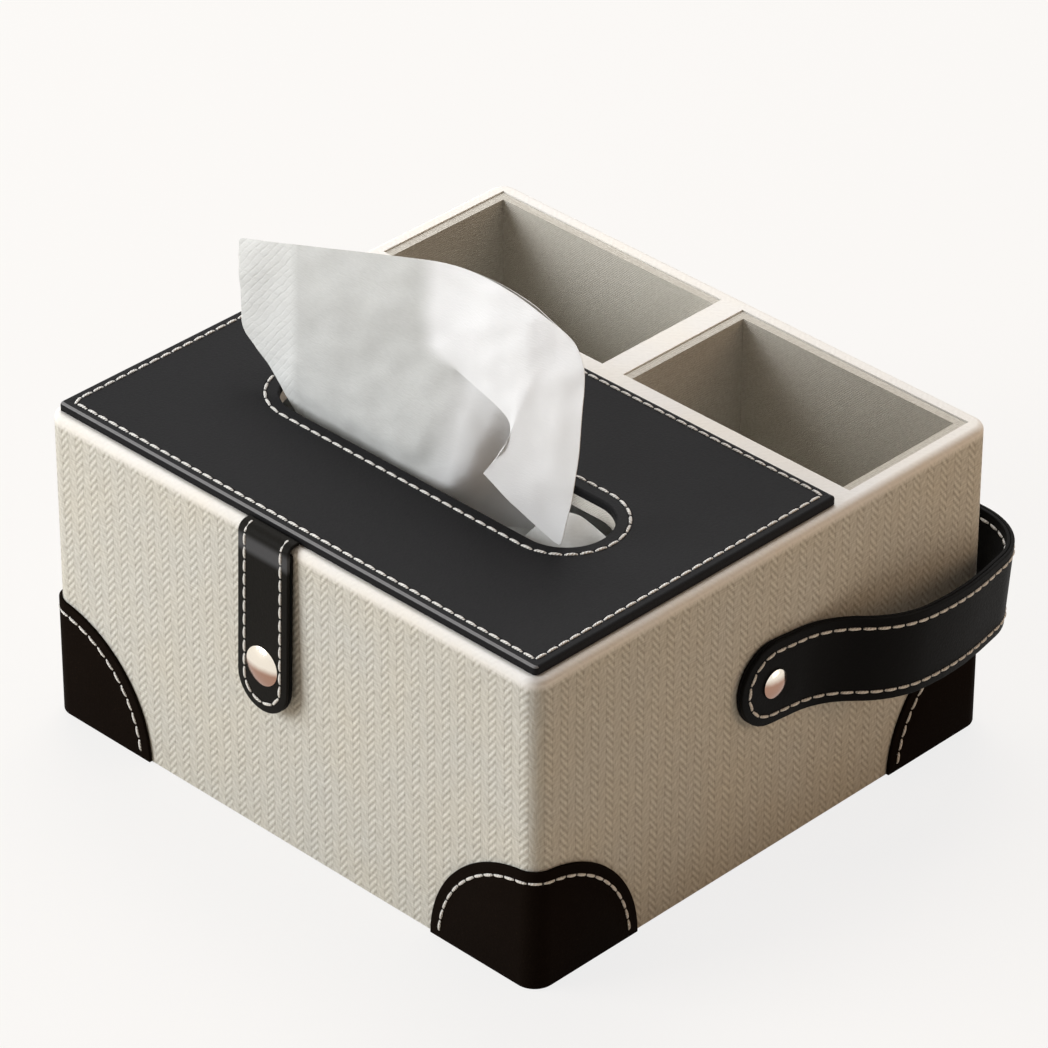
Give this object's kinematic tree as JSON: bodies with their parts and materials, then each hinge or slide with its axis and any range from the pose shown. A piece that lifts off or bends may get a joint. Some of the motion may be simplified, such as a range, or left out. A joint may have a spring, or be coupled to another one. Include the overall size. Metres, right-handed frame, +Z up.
{
  "type": "tissue box with organiser bays",
  "caption": "Covered tissue box with a hinged slotted lid, a magnetic closing tab, open bays behind and a folding carrying strap.",
  "frame": {"origin": "middle of the box's underside, on the surface it stands on", "axes": "+Z up, -Y out of the front face with the closing tab, +X to the user's right"},
  "size_m": [0.257, 0.2328, 0.1814],
  "materials": {
    "herringbone_cloth": "matte",
    "lining_cloth": "matte",
    "black_leather": "satin",
    "base_felt": "matte",
    "board": "matte",
    "polished_cap": "polished",
    "steel": "satin",
    "tissue_pile": "matte",
    "tissue": "matte"
  },
  "bodies": {
    "box": {"bottom_cover": "base_felt", "base_board": "board", "front_board": "board", "rear_board": "board", "left_board": "board", "right_board": "board", "partition_board": "board", "divider_board": "board", "outer_cover": "herringbone_cloth", "partition_cover": "lining_cloth", "divider_cover": "lining_cloth", "chamber_lining": "lining_cloth", "left_bay_tray": "lining_cloth", "right_bay_tray": "lining_cloth", "guard_front_left": "black_leather", "guard_front_right": "black_leather", "guard_rear_left": "black_leather", "guard_rear_right": "black_leather", "hinge_leaf_box": "black_leather", "snap_strike": "steel", "snap_washer": "steel", "handle_rivet_left": "polished_cap", "handle_rivet_right": "polished_cap", "handle_washer_left": "steel", "handle_washer_right": "steel", "tissue_stack": "tissue_pile"},
    "lid": {"lid_board": "board", "lid_leather": "black_leather", "lid_panel": "lining_cloth", "hinge_leaf_lid": "black_leather", "tab_tongue": "black_leather"},
    "tab": {"tab_outer": "black_leather", "tab_inner": "black_leather", "tab_magnet": "steel", "snap_cap": "polished_cap"},
    "strap": {"handle_outer": "black_leather", "handle_inner": "black_leather"},
    "sheet": {"tissue_sheet": "tissue"}
  },
  "joints": [
    {"name": "lid_hinge", "type": "hinge", "parent": "box", "child": "lid", "pos_m": [0, 0.03165, 0.11775], "axis": [-1, 0, 0], "range_deg": [0, 105]},
    {"name": "tab_fold", "type": "hinge", "parent": "lid", "child": "tab", "pos_m": [-0.006, -0.1023, 0.11695], "axis": [-1, 0, 0], "range_deg": [0, 75]},
    {"name": "strap_swing", "type": "hinge", "parent": "box", "child": "strap", "pos_m": [0, 0, 0.067], "axis": [1, 0, 0], "range_deg": [-9, 190]},
    {"name": "tissue_pull", "type": "slide", "parent": "lid", "child": "sheet", "axis": [0, 0, 1], "range_m": [0, 0.06]}
  ]
}
